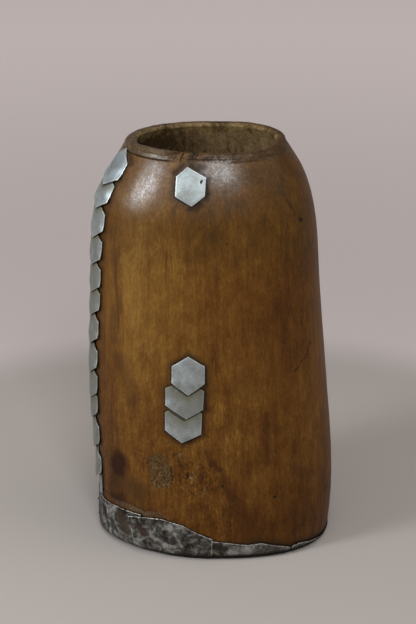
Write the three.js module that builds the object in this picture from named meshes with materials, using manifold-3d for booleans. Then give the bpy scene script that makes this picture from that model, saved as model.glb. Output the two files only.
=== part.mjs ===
// A carved wooden milk container. Hexagonal sheet-metal scales run down its left side and stand on
// its front, and its foot is shod with six pieces of tinned sheet that fold under the base.
// Sizes are in mm. The origin is the middle of the base, +Z goes up and -Y is the front.

import * as THREE from "three";
import { mergeVertices } from "three/addons/utils/BufferGeometryUtils.js";
import Module from "manifold-3d";

const wasm = await Module();
wasm.setup();

// Overall sizes
const HEIGHT = 300;
const WIDTH = 176;
const DEPTH = 139.6;
const WALL = 9;
const FLOOR = 22;
const CAVITY_ROUNDING = 20;
const CLEARANCE = 0.3;

// Rim and the groove cut round it
const RIM_THICKNESS = 8.4;
const RIM_BLEND = 16;
const GROOVE_BELOW_RIM = 5.8;
const GROOVE_WIDTH = 1.4;
const GROOVE_DEPTH = 0.8;

// Outside of the wood from the foot to the rim: how much slimmer it is than half the width, to the
// left and to the right of the middle, and than half the depth.
const OUTSIDE = [
  { up: 0, slimLeft: 3, slimRight: 0.4, slimDepth: 0.4 },
  { up: 42, slimLeft: 3.4, slimRight: -2, slimDepth: 0 },
  { up: 118, slimLeft: -0.2, slimRight: 3.5, slimDepth: 2.3 },
  { belowRim: 107, slimLeft: 1.6, slimRight: 9.8, slimDepth: 5.3 },
  { belowRim: 61, slimLeft: 3.5, slimRight: 13.2, slimDepth: 8.3 },
  { belowRim: 38, slimLeft: 7.4, slimRight: 17.6, slimDepth: 11.5 },
  { belowRim: 25, slimLeft: 13.8, slimRight: 22.4, slimDepth: 15 },
  { belowRim: 12, slimLeft: 21.4, slimRight: 30.4, slimDepth: 20.5 },
  { belowRim: 4, slimLeft: 26, slimRight: 35.6, slimDepth: 24.8 },
];
const SHOULDER_BELOW_RIM = 61;

// The cross section is an oval squared a little: 2 is an ellipse, and more is squarer.
const SQUARENESS_LEFT = 2.15;
const SQUARENESS_RIGHT = 2.5;

// Radius of the rounded edge between wall and base, at angles in degrees round the foot
const FOOT_ROUNDING = [
  { angle: 0, radius: 5 },
  { angle: 180, radius: 3.5 },
  { angle: 222, radius: 9 },
  { angle: 264, radius: 5 },
  { angle: 360, radius: 5 },
];

// Hexagonal scales: flat sides upright, points up and down, each held by bent prongs
const SCALE_THICKNESS = 0.8;
const PRONG_DEPTH = 2.4;
const PRONG_INSET = 0.5;
const PRONG_LENGTH = 8;
const PRONG_MARGIN = 1;

// Column of scales down the left side, laid by hand at uneven steps
const COLUMN_SCALE = { width: 26, side: 12.4, height: 28.6 };
const COLUMN_TOP_BELOW_RIM = 18.6;
const COLUMN_TOP_ANGLE = 193;
const COLUMN_FOOT_ANGLE = 186;
const COLUMN_STEPS = [15.8, 20.6, 20.7, 20.8, 18.2, 22.2, 22.8, 20.2, 16, 24.6, 25.2];

// Narrow strip that fills the column between its last scale and the shoe
const STRIP_WIDTH = 6.5;
const STRIP_TUCK = 1;
const STRIP_SHORTEST = 8;
const STRIP_ANGLE = 193.5;

// Scales on the front: one under the rim, and three lower down that overlap
const NECK_SCALE = { belowRim: 21, angle: 254.2, width: 21, side: 12.6, height: 27.6, turn: 7, tilt: 0.03 };
const TRIO_TOP_SCALE = { up: 144, angle: 255.7, width: 23.6, side: 13, height: 29, turn: 0 };
const TRIO_MIDDLE_SCALE = { below: 17.6, angle: 253.8, width: 28, side: 13.4, height: 30.6, turn: 0 };
const TRIO_LOWER_SCALE = { below: 18.1, angle: 252.9, width: 25.6, side: 15.2, height: 32, turn: 2 };

// Shoe of sheet metal round the foot
const SHOE_THICKNESS = 0.7;
const SHOE_FLAP = 12;
const LAP_RAMP = 2.5;
const SHOE_SHEETS = [
  {
    name: "shoe_sheet_left",
    edge: [{ angle: 190, up: 31 }, { angle: 196, up: 29 }, { angle: 212, up: 31 }, { angle: 228, up: 31.2 }],
  },
  {
    name: "shoe_sheet_front",
    lapAtStart: 8,
    lapAtEnd: 4,
    edge: [
      { angle: 220, up: 27.5 },
      { angle: 227, up: 29.4 },
      { angle: 240, up: 31.2 },
      { angle: 252, up: 28 },
      { angle: 262, up: 21.6 },
      { angle: 270, up: 18 },
    ],
  },
  {
    name: "shoe_sheet_front_right",
    edge: [
      { angle: 266, up: 16.4 },
      { angle: 280, up: 14 },
      { angle: 291, up: 12 },
      { angle: 298, up: 12.8 },
      { angle: 314, up: 6 },
    ],
  },
  {
    name: "shoe_sheet_right",
    edge: [
      { angle: 315, up: 6 },
      { angle: 319, up: 7.2 },
      { angle: 325, up: 5.4 },
      { angle: 338, up: 3.4 },
      { angle: 360, up: 3 },
      { angle: 374, up: 5 },
    ],
  },
  {
    name: "shoe_sheet_back",
    lapAtEnd: 4,
    edge: [{ angle: 375, up: 5.2 }, { angle: 390, up: 9 }, { angle: 420, up: 15 }, { angle: 454, up: 20 }],
  },
  {
    name: "shoe_sheet_back_left",
    edge: [
      { angle: 450, up: 18.4 },
      { angle: 490, up: 25 },
      { angle: 520, up: 29 },
      { angle: 544, up: 27.5 },
    ],
  },
];

// Tacks that hold the shoe, by their angle round the foot and height above the floor
const TACK_SHANK = 0.6;
const TACK_LENGTH = 6.5;
const TACK_HEAD = 1.3;
const TACK_HEAD_RISE = 0.7;
const TACKS = [
  { angle: 193, up: 12 },
  { angle: 224, up: 20 },
  { angle: 234.3, up: 22.2 },
  { angle: 237.4, up: 22.6 },
  { angle: 246.3, up: 17.5 },
  { angle: 268, up: 12 },
  { angle: 301, up: 8.6 },
  { angle: 322, up: 4.6 },
  { angle: 378, up: 5 },
  { angle: 408, up: 9 },
  { angle: 452, up: 13 },
  { angle: 482, up: 17 },
  { angle: 512, up: 20 },
  { angle: 540, up: 16 },
];

// Fineness of the solids
const STEPS_AROUND = 60;
const WALL_ROW = 20;
const SHOULDER_ROW = 8;
const CAVITY_ROW = 36;
const ARC_STEPS = 4;
const RIM_STEPS = 8;
const LEAST_SHEET_STEP = 0.3;
const TACK_SIDES = 6;

const UP = new THREE.Vector3(0, 0, 1);
const wood = new THREE.MeshStandardMaterial({ color: 0x7a4d20, roughness: 0.48, metalness: 0 });
const scaleMetal = new THREE.MeshStandardMaterial({ color: 0xb2b7b8, roughness: 0.42, metalness: 0.9 });
const shoeMetal = new THREE.MeshStandardMaterial({ color: 0x77736c, roughness: 0.5, metalness: 0.8 });
const tackMetal = new THREE.MeshStandardMaterial({ color: 0x3b352f, roughness: 0.6, metalness: 0.8 });

const radians = THREE.MathUtils.degToRad;
const footHeight = SHOE_THICKNESS + CLEARANCE;
const rimRadius = RIM_THICKNESS / 2;
const rimHeight = HEIGHT - rimRadius;
const grooveHeight = HEIGHT - GROOVE_BELOW_RIM;
const shoulderHeight = HEIGHT - SHOULDER_BELOW_RIM;
const outside = new THREE.CubicInterpolant(
  OUTSIDE.map(({ up, belowRim }) => up ?? HEIGHT - belowRim),
  OUTSIDE.flatMap(({ slimLeft, slimRight, slimDepth }) => [
    WIDTH / 2 - slimLeft,
    WIDTH / 2 - slimRight,
    DEPTH / 2 - slimDepth,
  ]),
  3,
);

// The wood's wall

// Point on the wall's outside, before the foot is rounded
function wallPoint(angle, height) {
  const [left, right, depth] = outside.evaluate(height);
  const across = Math.cos(angle);
  const along = Math.sin(angle);
  const side = across > 0 ? right : left;
  const squareness = across > 0 ? SQUARENESS_RIGHT : SQUARENESS_LEFT;
  const sum = Math.pow(Math.abs(across) / side, squareness) + Math.pow(Math.abs(along) / depth, squareness);
  const reach = Math.pow(sum, -1 / squareness);
  return new THREE.Vector3(reach * across, reach * along, height);
}

// Slopes of the wall: mm moved per radian round it, and per mm of height
function wallAround(angle, height) {
  const nudge = 0.002;
  return wallPoint(angle + nudge, height).sub(wallPoint(angle - nudge, height)).divideScalar(2 * nudge);
}

function wallUp(angle, height) {
  const nudge = HEIGHT / 600;
  return wallPoint(angle, height + nudge).sub(wallPoint(angle, height - nudge)).divideScalar(2 * nudge);
}

function levelNormal(angle, height) {
  return wallAround(angle, height).cross(UP).normalize();
}

function wallNormal(angle, height) {
  return wallAround(angle, height).cross(wallUp(angle, height)).normalize();
}

function footRounding(angle) {
  const degrees = THREE.MathUtils.euclideanModulo(THREE.MathUtils.radToDeg(angle), 360);
  const next = FOOT_ROUNDING.findIndex((stop) => stop.angle >= degrees) || 1;
  const from = FOOT_ROUNDING[next - 1];
  const to = FOOT_ROUNDING[next];
  const share = THREE.MathUtils.smoothstep(degrees, from.angle, to.angle);
  return THREE.MathUtils.lerp(from.radius, to.radius, share);
}

// How far the rounded foot has turned from the wall towards the base, in radians
function footTurn(angle, height) {
  const radius = footRounding(angle);
  const sunk = footHeight + radius - height;
  return Math.asin(THREE.MathUtils.clamp(sunk / radius, 0, 1));
}

// Outward normal of the wood, and a point that lies `out` beyond it
function skinNormal(angle, height) {
  const turn = footTurn(angle, height);
  if (turn === 0) return wallNormal(angle, height);
  return levelNormal(angle, height).multiplyScalar(Math.cos(turn)).addScaledVector(UP, -Math.sin(turn));
}

function skinPoint(angle, height, out = 0) {
  const inset = footRounding(angle) * (1 - Math.cos(footTurn(angle, height)));
  return wallPoint(angle, height)
    .addScaledVector(levelNormal(angle, height), -inset)
    .addScaledVector(skinNormal(angle, height), out);
}

// Point under the base, `inset` in from the wall and `out` below the wood
function basePoint(angle, inset, out) {
  const point = wallPoint(angle, footHeight).addScaledVector(levelNormal(angle, footHeight), -inset);
  return point.setZ(footHeight - out);
}

// Meshes and solids

function indexedGeometry(points, index) {
  const geometry = new THREE.BufferGeometry().setFromPoints(points);
  geometry.setIndex(index);
  return geometry;
}

// Closed skin through rings of points that each run round +Z, with a pole at either end
function closedLoft(firstPole, rings, lastPole) {
  const count = rings[0].length;
  const index = [];
  const last = rings.length * count + 1;
  for (let i = 0; i < count; i += 1) {
    const next = (i + 1) % count;
    index.push(0, 1 + next, 1 + i);
    for (let row = 0; row < rings.length - 1; row += 1) {
      const low = 1 + row * count;
      const high = low + count;
      index.push(low + i, low + next, high + next);
      index.push(low + i, high + next, high + i);
    }
    index.push(last - count + i, last - count + next, last);
  }
  return indexedGeometry([firstPole, ...rings.flat(), lastPole], index);
}

// Closed sheet over a grid: place(i, j, side) gives its inside for side 0 and its outside for side 1
function thickPatch(columns, rows, place) {
  const points = [];
  const index = [];
  const at = (side, i, j) => (side * (rows + 1) + j) * (columns + 1) + i;
  const quad = (a, b, c, d) => index.push(a, b, c, a, c, d);
  for (const side of [0, 1]) {
    for (let j = 0; j <= rows; j += 1) {
      for (let i = 0; i <= columns; i += 1) points.push(place(i, j, side));
    }
  }
  for (let i = 0; i < columns; i += 1) {
    for (let j = 0; j < rows; j += 1) {
      quad(at(1, i, j), at(1, i + 1, j), at(1, i + 1, j + 1), at(1, i, j + 1));
      quad(at(0, i, j), at(0, i, j + 1), at(0, i + 1, j + 1), at(0, i + 1, j));
    }
    quad(at(0, i, 0), at(0, i + 1, 0), at(1, i + 1, 0), at(1, i, 0));
    quad(at(0, i, rows), at(1, i, rows), at(1, i + 1, rows), at(0, i + 1, rows));
  }
  for (let j = 0; j < rows; j += 1) {
    quad(at(0, 0, j), at(1, 0, j), at(1, 0, j + 1), at(0, 0, j + 1));
    quad(at(0, columns, j), at(0, columns, j + 1), at(1, columns, j + 1), at(1, columns, j));
  }
  return indexedGeometry(points, index);
}

function toSolid(geometry) {
  const bare = geometry.clone();
  bare.deleteAttribute("normal");
  bare.deleteAttribute("uv");
  const welded = mergeVertices(bare, 1e-4);
  return new wasm.Manifold(
    new wasm.Mesh({
      numProp: 3,
      vertProperties: Float32Array.from(welded.attributes.position.array),
      triVerts: Uint32Array.from(welded.index.array),
    }),
  );
}

function toMesh(name, solid, material) {
  const { vertProperties, triVerts } = solid.getMesh();
  const geometry = new THREE.BufferGeometry();
  geometry.setAttribute("position", new THREE.BufferAttribute(vertProperties, 3));
  geometry.setIndex(new THREE.BufferAttribute(triVerts, 1));
  geometry.computeVertexNormals();
  const mesh = new THREE.Mesh(geometry, material);
  mesh.name = name;
  return mesh;
}

// Even stops from one value to another, about `pitch` apart, both ends included
function stops(from, to, pitch) {
  const count = Math.max(1, Math.ceil(Math.abs(to - from) / pitch));
  return Array.from({ length: count + 1 }, (_, i) => THREE.MathUtils.lerp(from, to, i / count));
}

// The vessel, carved from one log: outside, rounded rim, cavity

function vesselBlank() {
  const angles = stops(0, 2 * Math.PI, (2 * Math.PI) / STEPS_AROUND).slice(0, -1);
  const ring = (place) => angles.map(place);
  const wallRing = (height) => ring((angle) => wallPoint(angle, height));
  const insetRing = (inset, level, height) =>
    ring((angle) =>
      wallPoint(angle, level).addScaledVector(levelNormal(angle, level), -inset).setZ(height),
    );
  const cavityFoot = FLOOR + CAVITY_ROUNDING;
  const wallFoot = footHeight + 2 * Math.max(...FOOT_ROUNDING.map((stop) => stop.radius));
  const grooveFoot = grooveHeight - GROOVE_WIDTH / 2;

  const rings = [];
  for (const turn of stops(Math.PI / 2, 0, Math.PI / 2 / ARC_STEPS)) {
    rings.push(ring((angle) => skinPoint(angle, footHeight + footRounding(angle) * (1 - Math.sin(turn)))));
  }
  rings.push(...stops(wallFoot, shoulderHeight, WALL_ROW).map(wallRing));
  rings.push(...stops(shoulderHeight, grooveFoot, SHOULDER_ROW).slice(1).map(wallRing));
  rings.push(insetRing(GROOVE_DEPTH, grooveHeight, grooveHeight));
  rings.push(wallRing(Math.min(grooveHeight + GROOVE_WIDTH / 2, rimHeight)));
  for (const turn of stops(0, Math.PI, Math.PI / RIM_STEPS).slice(1)) {
    const inset = rimRadius * (1 - Math.cos(turn));
    rings.push(insetRing(inset, rimHeight, rimHeight + rimRadius * Math.sin(turn)));
  }
  for (const height of stops(rimHeight - RIM_BLEND, shoulderHeight, 1.5 * SHOULDER_ROW)) {
    rings.push(insetRing(WALL, height, height));
  }
  for (const height of stops(shoulderHeight, cavityFoot, CAVITY_ROW).slice(1)) {
    rings.push(insetRing(WALL, height, height));
  }
  for (const turn of stops(0, Math.PI / 2, Math.PI / 2 / ARC_STEPS).slice(1)) {
    const inset = WALL + CAVITY_ROUNDING * (1 - Math.cos(turn));
    rings.push(insetRing(inset, cavityFoot, cavityFoot - CAVITY_ROUNDING * Math.sin(turn)));
  }
  return closedLoft(new THREE.Vector3(0, 0, footHeight), rings, new THREE.Vector3(0, 0, FLOOR));
}

// Scales

// Places a point of a scale by mm across, mm up its slope and mm out of the wood
function scaleFrame({ angle, up, turn = 0 }) {
  const middle = radians(angle);
  const perRadian = wallAround(middle, up).length();
  const perHeight = wallUp(middle, up).length();
  const lean = radians(turn);
  return (across, along, out) => {
    const turnedAcross = across * Math.cos(lean) - along * Math.sin(lean);
    const turnedAlong = across * Math.sin(lean) + along * Math.cos(lean);
    return skinPoint(middle + turnedAcross / perRadian, up + turnedAlong / perHeight, out);
  };
}

function scalePlate(scale) {
  const place = scaleFrame(scale);
  const columns = 4;
  const rows = 2;
  const drop = (scale.height - scale.side) / 2;
  return thickPatch(columns, rows, (i, j, side) => {
    const share = (2 * i) / columns - 1;
    const half = scale.side / 2 + drop * (1 - Math.abs(share));
    const along = half * ((2 * j) / rows - 1);
    return place(share * (scale.width / 2), along, scaleLift(scale, along) + side * SCALE_THICKNESS);
  });
}

// Scales lean out towards their lower point, so that each can lie on the next
function scaleLift(scale, along) {
  return CLEARANCE + scale.tilt * (scale.height / 2 - along);
}

function prongPlaces(scale) {
  if (!scale.isStrip) {
    const reach = scale.width / 2 - PRONG_INSET - SCALE_THICKNESS / 2;
    return [-reach, reach];
  }
  return [0];
}

// A prong, or with `room` the slot in the wood that it sits in
function prong(scale, across, room) {
  const place = scaleFrame(scale);
  const half = SCALE_THICKNESS / 2 + room;
  const length = Math.min(PRONG_LENGTH, scale.side - 2 * PRONG_MARGIN) / 2 + room;
  return thickPatch(1, 1, (i, j, side) => {
    const along = length * (2 * j - 1);
    const top = room > 0 ? SCALE_THICKNESS : scaleLift(scale, along) + SCALE_THICKNESS / 2;
    return place(across + half * (2 * i - 1), along, side ? top : -PRONG_DEPTH - room);
  });
}

function columnScales() {
  const tilt = (SCALE_THICKNESS + CLEARANCE) / Math.min(...COLUMN_STEPS);
  const shoeTop = SHOE_SHEETS[0].edge[0].up;
  const scales = [];
  let up = HEIGHT - COLUMN_TOP_BELOW_RIM;
  while (up - COLUMN_SCALE.side / 2 > shoeTop + STRIP_TUCK + STRIP_SHORTEST) {
    const share = (HEIGHT - COLUMN_TOP_BELOW_RIM - up) / (HEIGHT - COLUMN_TOP_BELOW_RIM);
    const angle = THREE.MathUtils.lerp(COLUMN_TOP_ANGLE, COLUMN_FOOT_ANGLE, share);
    const number = String(scales.length + 1).padStart(2, "0");
    scales.push({ ...COLUMN_SCALE, name: `column_scale_${number}`, angle, up, tilt });
    up -= COLUMN_STEPS[(scales.length - 1) % COLUMN_STEPS.length];
  }
  return scales;
}

// The strip's upper end tucks under the last scale, and its lower end stops at the shoe
function columnStrip(lastScale) {
  const upper = lastScale.up - lastScale.side / 2 - STRIP_TUCK;
  const perRadian = wallAround(radians(STRIP_ANGLE), lastScale.up).length();
  const reach = THREE.MathUtils.radToDeg(STRIP_WIDTH / 2 / perRadian);
  const shoeTops = [-reach, 0, reach].map((side) => shoeEdge(SHOE_SHEETS[0], STRIP_ANGLE + side));
  const lower = Math.max(...shoeTops) + 2 * CLEARANCE;
  const height = upper - lower;
  return {
    name: "column_strip",
    isStrip: true,
    angle: STRIP_ANGLE,
    up: (upper + lower) / 2,
    width: STRIP_WIDTH,
    side: height,
    height,
    tilt: 0,
  };
}

function frontScales() {
  const tilt = (SCALE_THICKNESS + CLEARANCE) / Math.min(TRIO_MIDDLE_SCALE.below, TRIO_LOWER_SCALE.below);
  const top = TRIO_TOP_SCALE.up;
  const middle = top - TRIO_MIDDLE_SCALE.below;
  const lower = middle - TRIO_LOWER_SCALE.below;
  return [
    { ...NECK_SCALE, name: "neck_scale", up: HEIGHT - NECK_SCALE.belowRim },
    { ...TRIO_TOP_SCALE, name: "front_scale_upper", tilt },
    { ...TRIO_MIDDLE_SCALE, name: "front_scale_middle", up: middle, tilt },
    { ...TRIO_LOWER_SCALE, name: "front_scale_lower", up: lower, tilt },
  ];
}

// Shoe

// Height of a sheet's upper edge at an angle in degrees
function shoeEdge(sheet, degrees) {
  const next = Math.max(1, sheet.edge.findIndex((corner) => corner.angle >= degrees));
  const from = sheet.edge[next - 1];
  const to = sheet.edge[next];
  return THREE.MathUtils.mapLinear(degrees, from.angle, to.angle, from.up, to.up);
}

function sheetSpan(sheet) {
  return { from: sheet.edge[0].angle, to: sheet.edge[sheet.edge.length - 1].angle };
}

// A sheet lies on the wood, and rides up over its neighbour where it laps it
function sheetLift(sheet, degrees) {
  const { from, to } = sheetSpan(sheet);
  const start = sheet.lapAtStart || 0;
  const end = sheet.lapAtEnd || 0;
  const fromStart = start ? (degrees - from - start) / LAP_RAMP : 1;
  const fromEnd = end ? (to - end - degrees) / LAP_RAMP : 1;
  const down = THREE.MathUtils.clamp(Math.min(fromStart, fromEnd), 0, 1);
  return CLEARANCE + (1 - down) * (SHOE_THICKNESS + CLEARANCE);
}

// Angles at which a sheet is drawn: its ends, the ends of its laps, and the wood's own steps between
function sheetAngles(sheet) {
  const { from, to } = sheetSpan(sheet);
  const step = 360 / STEPS_AROUND;
  const angles = [from, to];
  if (sheet.lapAtStart) angles.push(from + sheet.lapAtStart, from + sheet.lapAtStart + LAP_RAMP);
  if (sheet.lapAtEnd) angles.push(to - sheet.lapAtEnd, to - sheet.lapAtEnd - LAP_RAMP);
  for (let angle = Math.ceil(from / step) * step; angle < to; angle += step) angles.push(angle);
  angles.sort((a, b) => a - b);
  return angles.filter((angle, i) => i === 0 || angle - angles[i - 1] > LEAST_SHEET_STEP);
}

// Rows of a sheet: the flap's inner end, the rounded foot, and the wall up to the edge
function shoeSheet(sheet) {
  const angles = sheetAngles(sheet);
  const rows = ARC_STEPS + 3;
  return thickPatch(angles.length - 1, rows, (i, j, side) => {
    const degrees = angles[i];
    const angle = radians(degrees);
    const out = sheetLift(sheet, degrees) + side * SHOE_THICKNESS;
    const edge = shoeEdge(sheet, degrees);
    const radius = footRounding(angle);
    if (j === 0) return basePoint(angle, radius + SHOE_FLAP, out);
    const start = footTurn(angle, edge);
    const turn = THREE.MathUtils.lerp(Math.PI / 2, start, Math.min(1, (j - 1) / ARC_STEPS));
    const height = footHeight + radius * (1 - Math.sin(turn));
    const wallShare = Math.max(0, j - 1 - ARC_STEPS) / 2;
    return skinPoint(angle, THREE.MathUtils.lerp(height, edge, wallShare), out);
  });
}

// Block that takes away the flap of a lapping end, which would lie on its neighbour's flap. It reaches
// past the sheet's end by LAP_RAMP.
function flapTrim(fromDegrees, toDegrees) {
  const spare = SHOE_FLAP / 3;
  return thickPatch(2, 1, (i, j, side) => {
    const angle = radians(THREE.MathUtils.lerp(fromDegrees, toDegrees, i / 2));
    const flapStart = footRounding(angle) - CLEARANCE;
    const inset = j ? flapStart + SHOE_FLAP + spare : flapStart;
    return basePoint(angle, inset, 0).setZ(side ? footHeight : -spare);
  });
}

// Tacks

function tackSeat({ angle, up }) {
  const covering = SHOE_SHEETS.filter((sheet) => {
    const { from, to } = sheetSpan(sheet);
    return angle > from && angle < to;
  });
  const lift = Math.max(...covering.map((sheet) => sheetLift(sheet, angle)));
  return { angle: radians(angle), up, out: lift + SHOE_THICKNESS + CLEARANCE };
}

// Turns a shape made along +Y to stand out of the wood at a tack's seat
function seated(geometry, seat) {
  const turn = new THREE.Quaternion().setFromUnitVectors(
    new THREE.Vector3(0, 1, 0),
    skinNormal(seat.angle, seat.up),
  );
  const point = skinPoint(seat.angle, seat.up, seat.out);
  return geometry.applyQuaternion(turn).translate(point.x, point.y, point.z);
}

function tack(seat) {
  const profile = [
    new THREE.Vector2(0, -TACK_LENGTH),
    new THREE.Vector2(TACK_SHANK, -TACK_LENGTH + 2 * TACK_SHANK),
    new THREE.Vector2(TACK_SHANK, 0),
    new THREE.Vector2(TACK_HEAD, 0),
    new THREE.Vector2(TACK_HEAD * 0.75, TACK_HEAD_RISE * 0.75),
    new THREE.Vector2(0, TACK_HEAD_RISE),
  ];
  return seated(new THREE.LatheGeometry(profile, TACK_SIDES), seat);
}

function tackHole(seat) {
  const radius = TACK_SHANK + CLEARANCE;
  const below = TACK_LENGTH + CLEARANCE;
  const above = TACK_HEAD;
  const hole = new THREE.CylinderGeometry(radius, radius, below + above, TACK_SIDES);
  return seated(hole.translate(0, (above - below) / 2, 0), seat);
}

// Assembly

const scales = columnScales();
scales.push(columnStrip(scales[scales.length - 1]), ...frontScales());
const seats = TACKS.map(tackSeat);
const holes = seats.map((seat) => toSolid(tackHole(seat)));

const milkContainer = new THREE.Group();

let vessel = toSolid(vesselBlank());
for (const scale of scales) {
  for (const across of prongPlaces(scale)) {
    vessel = vessel.subtract(toSolid(prong(scale, across, CLEARANCE)));
  }
}
for (const hole of holes) vessel = vessel.subtract(hole);
milkContainer.add(toMesh("vessel_body", vessel, wood));

for (const scale of scales) {
  let plate = toSolid(scalePlate(scale));
  for (const across of prongPlaces(scale)) plate = plate.add(toSolid(prong(scale, across, 0)));
  milkContainer.add(toMesh(scale.name, plate, scaleMetal));
}

for (const sheet of SHOE_SHEETS) {
  const { from, to } = sheetSpan(sheet);
  let solid = toSolid(shoeSheet(sheet)).trimByPlane([0, 0, 1], 0);
  if (sheet.lapAtStart) {
    solid = solid.subtract(toSolid(flapTrim(from - LAP_RAMP, from + sheet.lapAtStart + LAP_RAMP)));
  }
  if (sheet.lapAtEnd) {
    solid = solid.subtract(toSolid(flapTrim(to - sheet.lapAtEnd - LAP_RAMP, to + LAP_RAMP)));
  }
  for (const hole of holes) solid = solid.subtract(hole);
  milkContainer.add(toMesh(sheet.name, solid, shoeMetal));
}

seats.forEach((seat, i) => {
  milkContainer.add(toMesh(`shoe_tack_${String(i + 1).padStart(2, "0")}`, toSolid(tack(seat)), tackMetal));
});

export default milkContainer;
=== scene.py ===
import math
import random
from functools import lru_cache

import bmesh
import bpy
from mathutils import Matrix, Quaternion, Vector, noise


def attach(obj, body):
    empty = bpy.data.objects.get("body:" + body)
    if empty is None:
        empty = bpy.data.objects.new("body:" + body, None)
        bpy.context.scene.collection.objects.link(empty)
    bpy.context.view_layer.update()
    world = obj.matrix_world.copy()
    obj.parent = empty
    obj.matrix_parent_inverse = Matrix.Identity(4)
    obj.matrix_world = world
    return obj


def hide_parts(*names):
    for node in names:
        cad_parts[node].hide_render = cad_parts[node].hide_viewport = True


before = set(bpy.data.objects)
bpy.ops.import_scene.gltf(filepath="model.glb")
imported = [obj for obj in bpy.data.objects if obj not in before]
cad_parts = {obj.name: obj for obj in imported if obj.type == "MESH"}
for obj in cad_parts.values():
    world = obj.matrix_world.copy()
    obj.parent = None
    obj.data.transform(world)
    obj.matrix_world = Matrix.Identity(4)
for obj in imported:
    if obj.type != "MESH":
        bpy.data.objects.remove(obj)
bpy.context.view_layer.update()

MM = 0.001

# Camera
# It stands a metre and a half in front of the vessel and looks down into its mouth by 21 degrees.

VIEW_DISTANCE = 1.5

view_down = math.radians(21)
aim = Vector((-3 * MM, 0, 167 * MM))
eye = aim + VIEW_DISTANCE * Vector((0, -math.cos(view_down), math.sin(view_down)))
bpy.ops.object.camera_add(location=eye, rotation=(math.pi / 2 - view_down, 0, 0))
camera = bpy.context.object
camera.name = "camera"
camera.data.lens = 118.55
bpy.context.scene.camera = camera
bpy.context.scene.view_settings.view_transform = "Standard"


# Floor
# One plain sheet of warm grey paper. Further off it glows a little paler, as where it sweeps up.


class Wire:
    """An output of a shader node. Arithmetic on it adds Math nodes to its material."""

    def __init__(self, socket):
        self.socket = socket

    def add_node(self, kind, inputs, stops=(), **settings):
        """Adds a node: its settings come first, then numbers, colours or wires for its inputs."""
        tree = self.socket.id_data
        node = tree.nodes.new("ShaderNode" + kind)
        for name, value in settings.items():
            setattr(node, name, value)
        for i, (place, colour) in enumerate(stops):
            elements = node.color_ramp.elements
            element = elements[i] if i < 2 else elements.new(place)
            element.position = place
            element.color = (*colour, 1)
        for name, value in inputs.items():
            if isinstance(value, Wire):
                tree.links.new(value.socket, node.inputs[name])
            else:
                node.inputs[name].default_value = value
        return node

    def node(self, kind, inputs, output=0, **settings):
        return Wire(self.add_node(kind, inputs, **settings).outputs[output])

    def math(self, operation, first, second):
        return self.node("Math", {0: first, 1: second}, operation=operation)

    def __add__(self, other):
        return self.math("ADD", self, other)

    def __sub__(self, other):
        return self.math("SUBTRACT", self, other)

    def __rsub__(self, other):
        return self.math("SUBTRACT", other, self)

    def __mul__(self, other):
        return self.math("MULTIPLY", self, other)

    def __truediv__(self, other):
        return self.math("DIVIDE", self, other)

    def __abs__(self):
        return self.math("ABSOLUTE", self, 0)

    __radd__ = __add__
    __rmul__ = __mul__

    def least(self, other):
        return self.math("MINIMUM", self, other)

    def most(self, other):
        return self.math("MAXIMUM", self, other)

    def fade(self, none, full):
        """0 where the value is `none` and 1 where it is `full`, with a soft change between."""
        inputs = {"Value": self, "From Min": none, "From Max": full}
        return self.node("MapRange", inputs, interpolation_type="SMOOTHSTEP")

    def sway(self, amount):
        """Noise from 0 to 1 turned into a change to both sides of 0."""
        return (self - 0.5) * amount

    def paint(self, below, colour):
        """Colour laid over the one below, as thickly as this mask says."""
        below = (*below, 1) if isinstance(below, tuple) else below
        colour = (*colour, 1) if isinstance(colour, tuple) else colour
        return self.node("Mix", {0: self, 6: below, 7: colour}, 2, data_type="RGBA")

    def ramp(self, stops):
        return self.node("ValToRGB", {0: self}, stops=stops)

    def vector(self, operation, other, output=0):
        return self.node("VectorMath", {0: self, 1: other}, output, operation=operation)

    def along(self, axis):
        return self.node("SeparateXYZ", {0: self}, "XYZ".index(axis))

    def field(self, name):
        """A value that is kept on the points of the mesh."""
        return self.node("Attribute", {}, 2, attribute_name=name)

    def grain(self, size, stretch=(1, 1, 1), turn=(0, 0, 0), shift=0.0, detail=3, roughness=0.5, warp=0.0):
        """Cloudy noise from 0 to 1 in lumps of one size, drawn out by `stretch` and turned by `turn`."""
        mapping = {"Vector": self, "Location": (shift,) * 3, "Rotation": turn, "Scale": stretch}
        place = self.node("Mapping", mapping, vector_type="TEXTURE")
        inputs = {"Vector": place, "Scale": 1 / size, "Detail": detail}
        return self.node("TexNoise", {**inputs, "Roughness": roughness, "Distortion": warp})

    def jostled(self, size, reach):
        """The place moved about by noise, so that what is drawn there gets an uneven outline."""
        offset = self.node("TexNoise", {"Vector": self, "Scale": 1 / size}, "Color")
        offset = offset.vector("SUBTRACT", (0.5, 0.5, 0.5)).vector("MULTIPLY", (reach,) * 3)
        return self.vector("ADD", offset)

    def gap_to(self, start, end=None):
        """Distance in mm from a point, or from the straight line between two points."""
        offset = self.vector("SUBTRACT", tuple(start))
        if end is not None:
            reach = end - start
            share = offset.vector("DOT_PRODUCT", tuple(reach / reach.length_squared), 1).most(0).least(1)
            nearest = self.node("VectorMath", {0: tuple(reach), "Scale": share}, operation="SCALE")
            offset = offset.vector("SUBTRACT", nearest)
        return offset.vector("LENGTH", (0, 0, 0), 1) / MM


def new_material(name):
    """A material with nothing in it yet, and a wire that gives the place on the object."""
    material = bpy.data.materials.new(name)
    material.use_nodes = True
    material.node_tree.nodes.clear()
    return material, Wire(material.node_tree.nodes.new("ShaderNodeTexCoord").outputs["Object"])


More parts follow.
